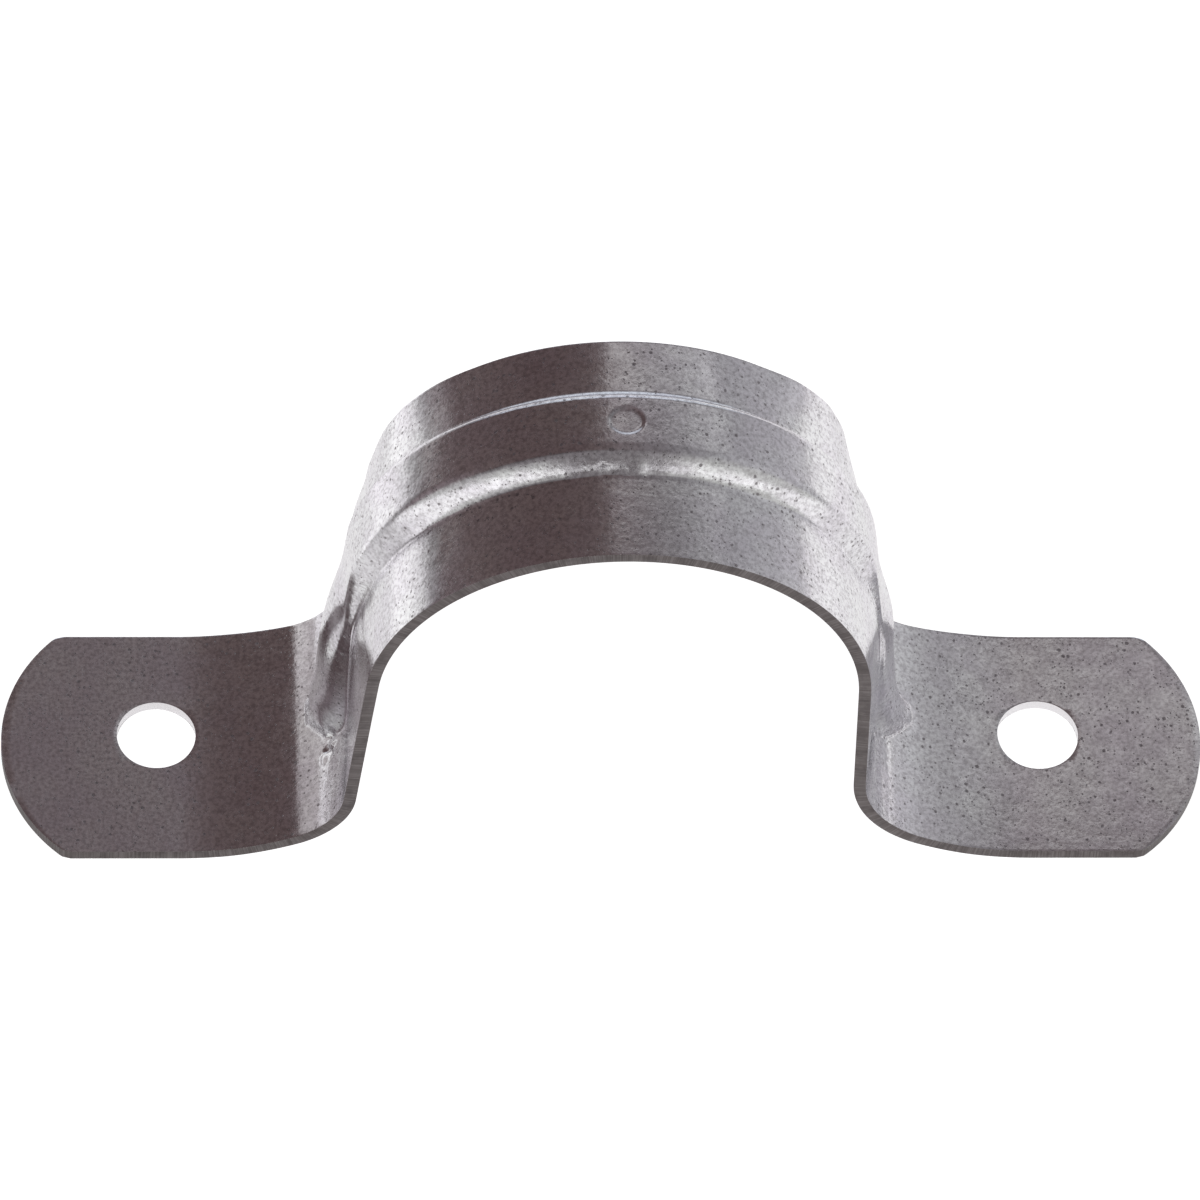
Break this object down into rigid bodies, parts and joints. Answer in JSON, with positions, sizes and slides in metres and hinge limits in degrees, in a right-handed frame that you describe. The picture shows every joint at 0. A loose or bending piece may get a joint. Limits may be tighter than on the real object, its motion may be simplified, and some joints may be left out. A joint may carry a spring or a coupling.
{
  "type": "conduit strap",
  "caption": "Pressed sheet-steel strap with a ribbed, arched saddle and flat pierced ears, screwed down over a conduit to hold it against a surface.",
  "frame": {"origin": "on the mounting surface, midway between the ears' ends and on the strip's centreline", "axes": "+X from ear to ear, +Y across the strip, along the conduit, +Z away from the mounting surface"},
  "size_m": [0.1186, 0.0254, 0.0543],
  "materials": {
    "zinc_coated_steel": "hot-dip galvanised sheet, matt to satin, finely pitted"
  },
  "bodies": {
    "root": {"strap": "zinc_coated_steel"}
  },
  "joints": []
}
